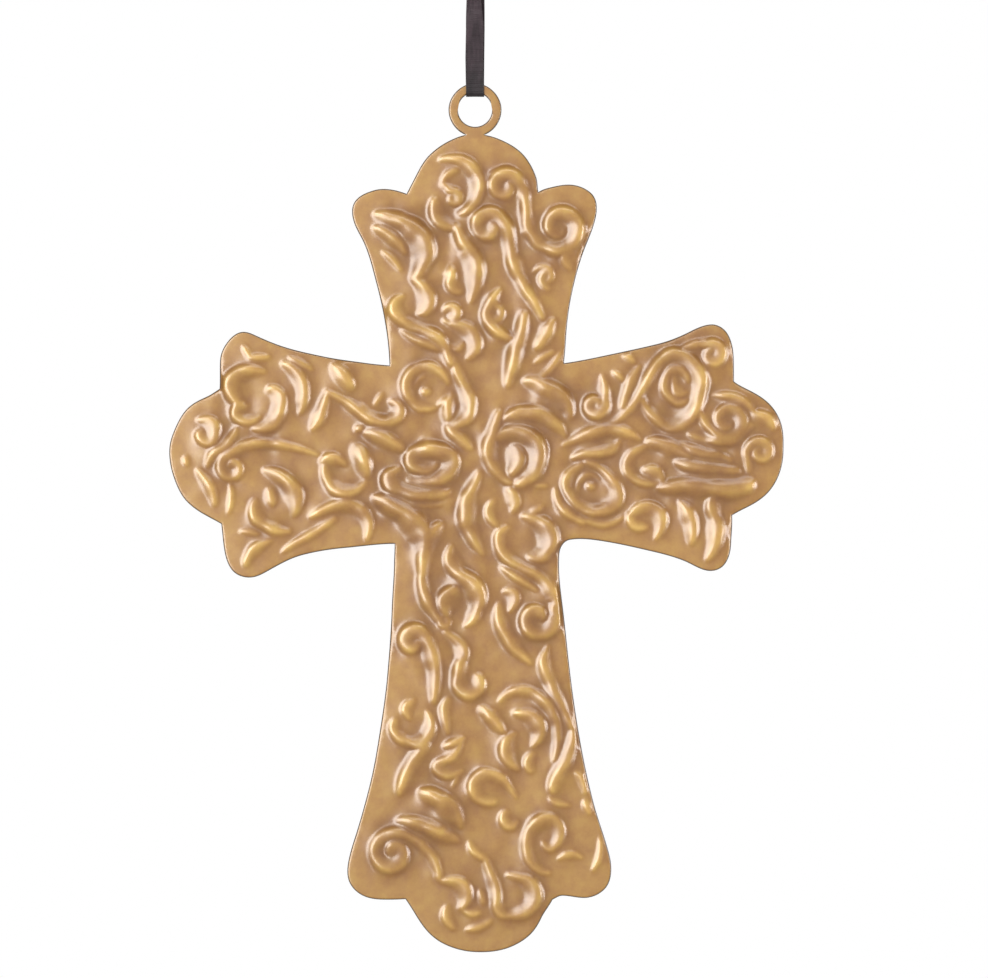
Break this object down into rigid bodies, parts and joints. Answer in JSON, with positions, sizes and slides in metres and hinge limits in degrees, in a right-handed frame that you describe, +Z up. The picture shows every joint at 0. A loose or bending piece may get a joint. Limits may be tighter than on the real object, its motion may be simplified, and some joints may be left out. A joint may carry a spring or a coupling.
{
  "type": "embossed hanging cross ornament",
  "caption": "Hanging cross ornament of stamped sheet iron in gold paint, trefoil arms covered in raised leaf scrollwork, with a flat ring and a black ribbon loop",
  "frame": {"origin": "hang point: the inside top of the ribbon loop, where it sits on its hook", "axes": "+Z up, +X to the right seen from the front, the front faces -Y"},
  "size_m": [0.1077, 0.0034, 0.1847],
  "materials": {
    "gold_paint": "satin gold bronze paint with bright worn crests",
    "black_ribbon": "woven satin, faint sheen"
  },
  "bodies": {
    "root": {"cross": "gold_paint", "ribbon": "black_ribbon"}
  },
  "joints": []
}
